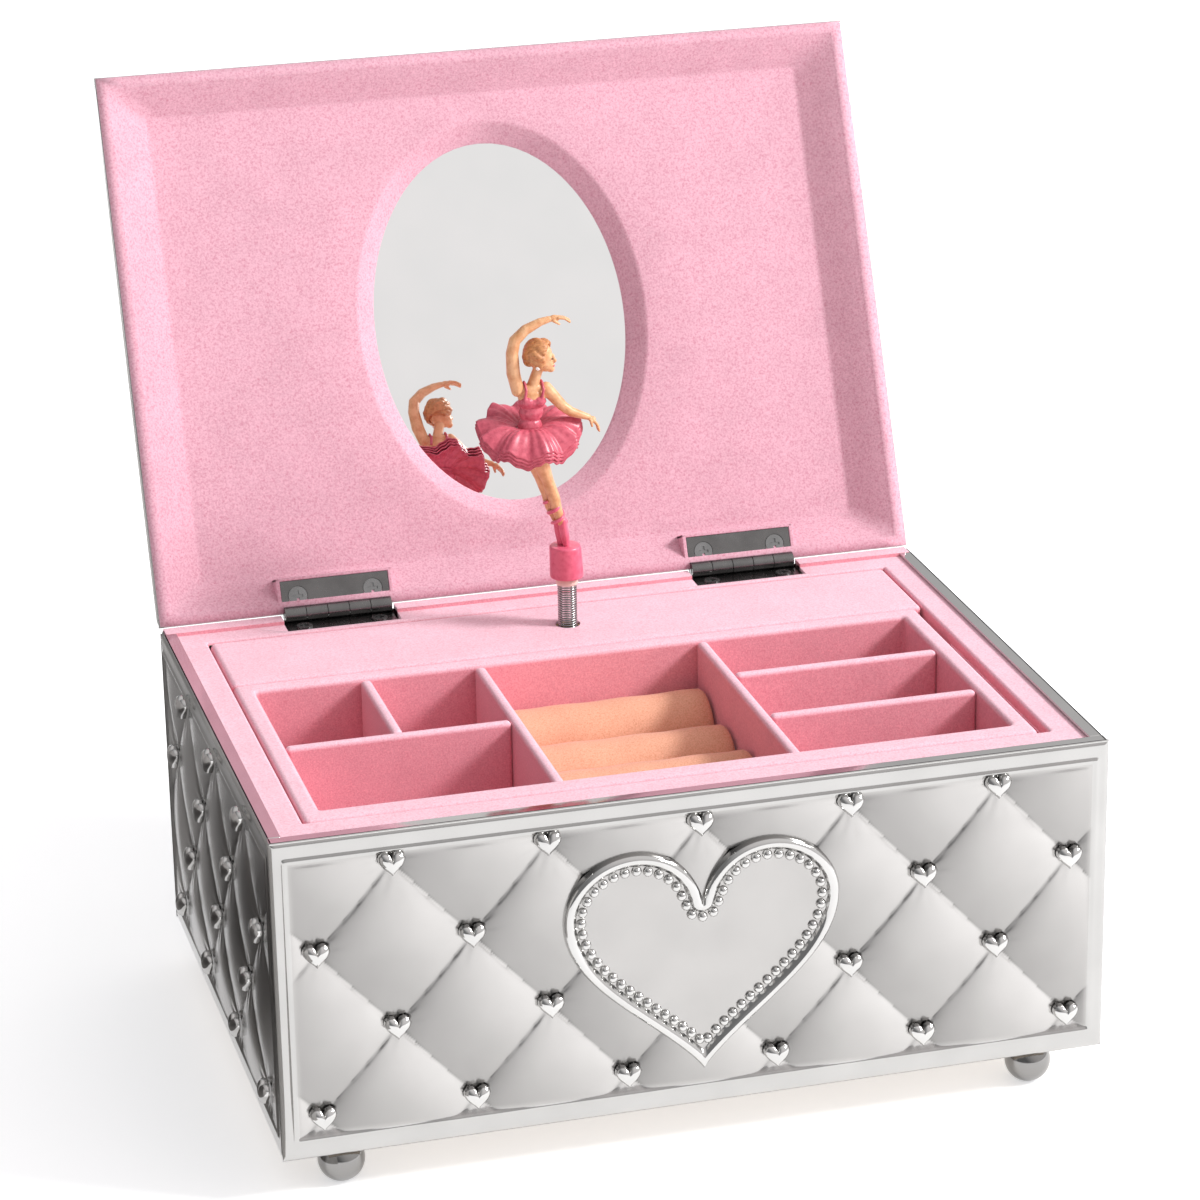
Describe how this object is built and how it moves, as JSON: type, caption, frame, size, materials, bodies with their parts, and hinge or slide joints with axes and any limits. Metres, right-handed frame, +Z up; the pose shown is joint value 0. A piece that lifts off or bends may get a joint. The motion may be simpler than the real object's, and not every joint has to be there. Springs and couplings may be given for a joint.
{
  "type": "wind-up music box",
  "caption": "Quilted silver jewellery box on ball feet with a mirror lid, a lift-out velvet tray and a wind-up dancer that turns on a spring.",
  "frame": {"origin": "middle of the open box's bounding box at floor level, under the ball feet", "axes": "+X to the right seen from the front, +Y towards the hinged rear, +Z up"},
  "size_m": [0.2002, 0.205, 0.2164],
  "materials": {
    "wood": "thin fibreboard, unfinished",
    "silver_panel": "silver plated sheet, satin quilted field inside a polished border",
    "silver_polished": "polished silver plate",
    "velvet": "flocked pink velvet",
    "roll_fabric": "peach flocked padding",
    "hinge_steel": "darkened steel",
    "screw_steel": "plated steel",
    "mirror_glass": "silvered glass",
    "bedplate": "plated steel",
    "tuned_steel": "bright hardened steel",
    "brass": "turned and cut brass",
    "spring_steel": "bright spring wire",
    "fly_plastic": "moulded white plastic",
    "cap_plastic": "pale moulded plastic",
    "collar_plastic": "pink moulded plastic",
    "figure_plastic": "painted moulded plastic",
    "tutu_net": "stiff pleated net"
  },
  "bodies": {
    "case": {"base_board": "wood", "front_wall": "wood", "rear_wall": "wood", "left_wall": "wood", "right_wall": "wood", "front_panel": "silver_panel", "rear_panel": "silver_panel", "left_panel": "silver_panel", "right_panel": "silver_panel", "heart_plaque": "silver_polished", "velvet_ledge": "velvet", "interior_lining": "velvet", "floor_pad": "velvet", "deck": "velvet", "deck_riser": "velvet", "movement_partition": "velvet", "movement_cover": "velvet", "tray_rails": "velvet", "ball_feet": "silver_polished", "foot_screws": "screw_steel", "hinge_box_leaves": "hinge_steel", "hinge_pins": "screw_steel", "hinge_box_screws": "screw_steel", "movement_bedplate": "bedplate", "comb": "tuned_steel", "comb_screws": "screw_steel", "governor_frame": "bedplate", "movement_screws": "screw_steel", "spindle_bush": "brass", "coil_spring": "spring_steel"},
    "lid": {"lid_shell": "silver_panel", "lid_board": "wood", "lid_lining": "velvet", "mirror": "mirror_glass", "hinge_lid_leaves": "hinge_steel", "hinge_lid_screws": "screw_steel"},
    "tray": {"tray_walls": "velvet", "tray_floor": "velvet", "tray_dividers": "velvet", "ring_rolls": "roll_fabric"},
    "key": {"winding_arbor": "screw_steel", "ratchet_wheel": "brass", "winding_key": "screw_steel"},
    "click": {"click_pawl": "screw_steel"},
    "barrel": {"spring_barrel": "brass", "barrel_cover": "brass", "mainspring": "spring_steel"},
    "cylinder": {"pinned_cylinder": "brass", "cylinder_arbor": "screw_steel", "cylinder_gears": "brass"},
    "governor": {"governor_wheel": "brass"},
    "fly": {"governor_fly": "fly_plastic"},
    "spindle": {"spindle": "screw_steel", "crown_wheel": "brass"},
    "tilt": {"spring_cap": "cap_plastic"},
    "figure": {"dancer_collar": "collar_plastic", "dancer": "figure_plastic", "tutu": "tutu_net"}
  },
  "joints": [
    {"name": "lid_hinge", "type": "hinge", "parent": "case", "child": "lid", "pos_m": [0, 0.03911, 0.08895], "axis": [-1, 0, 0], "range_deg": [-113.6, 0]},
    {"name": "dancer_tilt", "type": "hinge", "parent": "case", "child": "tilt", "pos_m": [0, 0.01391, 0.0953], "axis": [1, 0, 0], "range_deg": [-0.5, 102.5], "deforming": ["coil_spring"]},
    {"name": "dancer_spin", "type": "hinge", "parent": "tilt", "child": "figure", "pos_m": [0, 0.01391, 0.1006], "axis": [0, 0, 1], "continuous": true},
    {"name": "tray_lift", "type": "slide", "parent": "case", "child": "tray", "axis": [0, 0, 1], "range_m": [0, 0.05]},
    {"name": "key_wind", "type": "hinge", "parent": "case", "child": "key", "pos_m": [0.006, 0.01391, 0.0108], "axis": [0, 0, 1], "range_deg": [0, 1440]},
    {"name": "click_lift", "type": "hinge", "parent": "case", "child": "click", "pos_m": [0.016, 0.00991, 0.019], "axis": [0, 0, -1], "range_deg": [0, 14], "stiffness_Nm_per_rad": 0.002},
    {"name": "barrel_spin", "type": "hinge", "parent": "case", "child": "barrel", "pos_m": [0.006, 0.01391, 0.025], "axis": [0, 0, 1], "continuous": true},
    {"name": "cylinder_spin", "type": "hinge", "parent": "case", "child": "cylinder", "pos_m": [-0.019, 0.01391, 0.0363], "axis": [1, 0, 0], "continuous": true},
    {"name": "governor_spin", "type": "hinge", "parent": "case", "child": "governor", "pos_m": [-0.036, 0.01391, 0.0243], "axis": [1, 0, 0], "continuous": true},
    {"name": "fly_spin", "type": "hinge", "parent": "case", "child": "fly", "pos_m": [-0.0395, 0.0204, 0.03], "axis": [0, 0, 1], "continuous": true},
    {"name": "spindle_spin", "type": "hinge", "parent": "case", "child": "spindle", "pos_m": [0, 0.01391, 0.06], "axis": [0, 0, 1], "continuous": true}
  ],
  "couplings": [
    {"joint": "dancer_tilt", "follows": "lid_hinge", "ratio": -0.89789},
    {"joint": "cylinder_spin", "follows": "barrel_spin", "ratio": -2},
    {"joint": "governor_spin", "follows": "barrel_spin", "ratio": 6},
    {"joint": "fly_spin", "follows": "barrel_spin", "ratio": -60},
    {"joint": "spindle_spin", "follows": "barrel_spin", "ratio": -2},
    {"joint": "dancer_spin", "follows": "barrel_spin", "ratio": -2}
  ]
}
